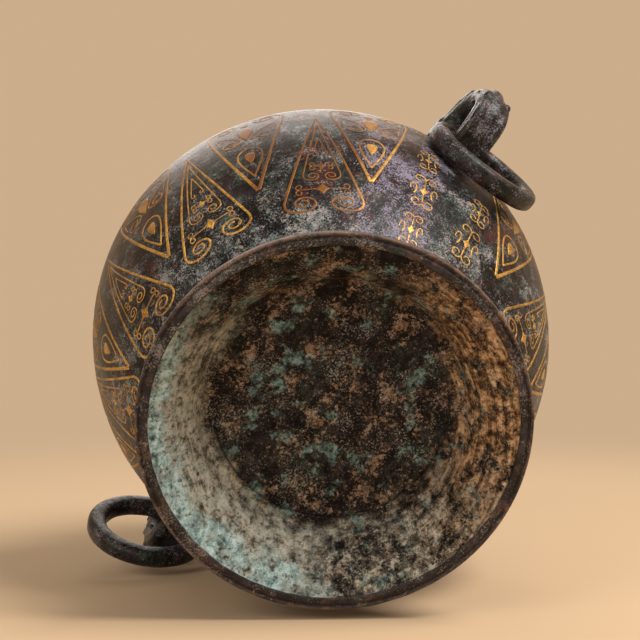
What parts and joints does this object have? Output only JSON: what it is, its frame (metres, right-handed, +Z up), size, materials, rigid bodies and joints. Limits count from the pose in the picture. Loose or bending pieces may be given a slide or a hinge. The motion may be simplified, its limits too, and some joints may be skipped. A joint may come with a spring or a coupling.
{
  "type": "bronze lidded jar",
  "caption": "Round-bellied bronze ritual jar on a flared foot ring, with a lift-off domed lid and loose ring handles on beast-head lugs.",
  "frame": {"origin": "middle of the foot ring's underside", "axes": "+Z up the jar's axis towards the mouth, +X through the right-hand lug, +Y square to both"},
  "size_m": [0.2916, 0.22, 0.2559],
  "materials": {
    "body_bronze": "dark patina",
    "foot_bronze": "worn patina",
    "lid_bronze": "dark patina",
    "lug_bronze": "semi-gloss patina",
    "ring_bronze": "semi-gloss patina"
  },
  "bodies": {
    "jar": {"jar_body": "body_bronze", "neck_collar": "body_bronze", "foot_ring": "foot_bronze", "lug_right": "lug_bronze", "lug_left": "lug_bronze"},
    "lid": {"lid": "lid_bronze", "lid_knob": "lid_bronze"},
    "ring_right": {"ring_right": "ring_bronze"},
    "ring_left": {"ring_left": "ring_bronze"}
  },
  "joints": [
    {"name": "lid_lift", "type": "slide", "parent": "jar", "child": "lid", "axis": [0, 0, 1], "range_m": [0, 0.08]},
    {"name": "ring_right_swing", "type": "hinge", "parent": "jar", "child": "ring_right", "pos_m": [0.1152, 0, 0.141], "axis": [-0.0146, -0.9816, -0.1902], "range_deg": [0, 100]},
    {"name": "ring_left_swing", "type": "hinge", "parent": "jar", "child": "ring_left", "pos_m": [-0.1214, 0.0034, 0.137], "axis": [0.2241, 0.8365, -0.5], "range_deg": [-15, 80]}
  ]
}
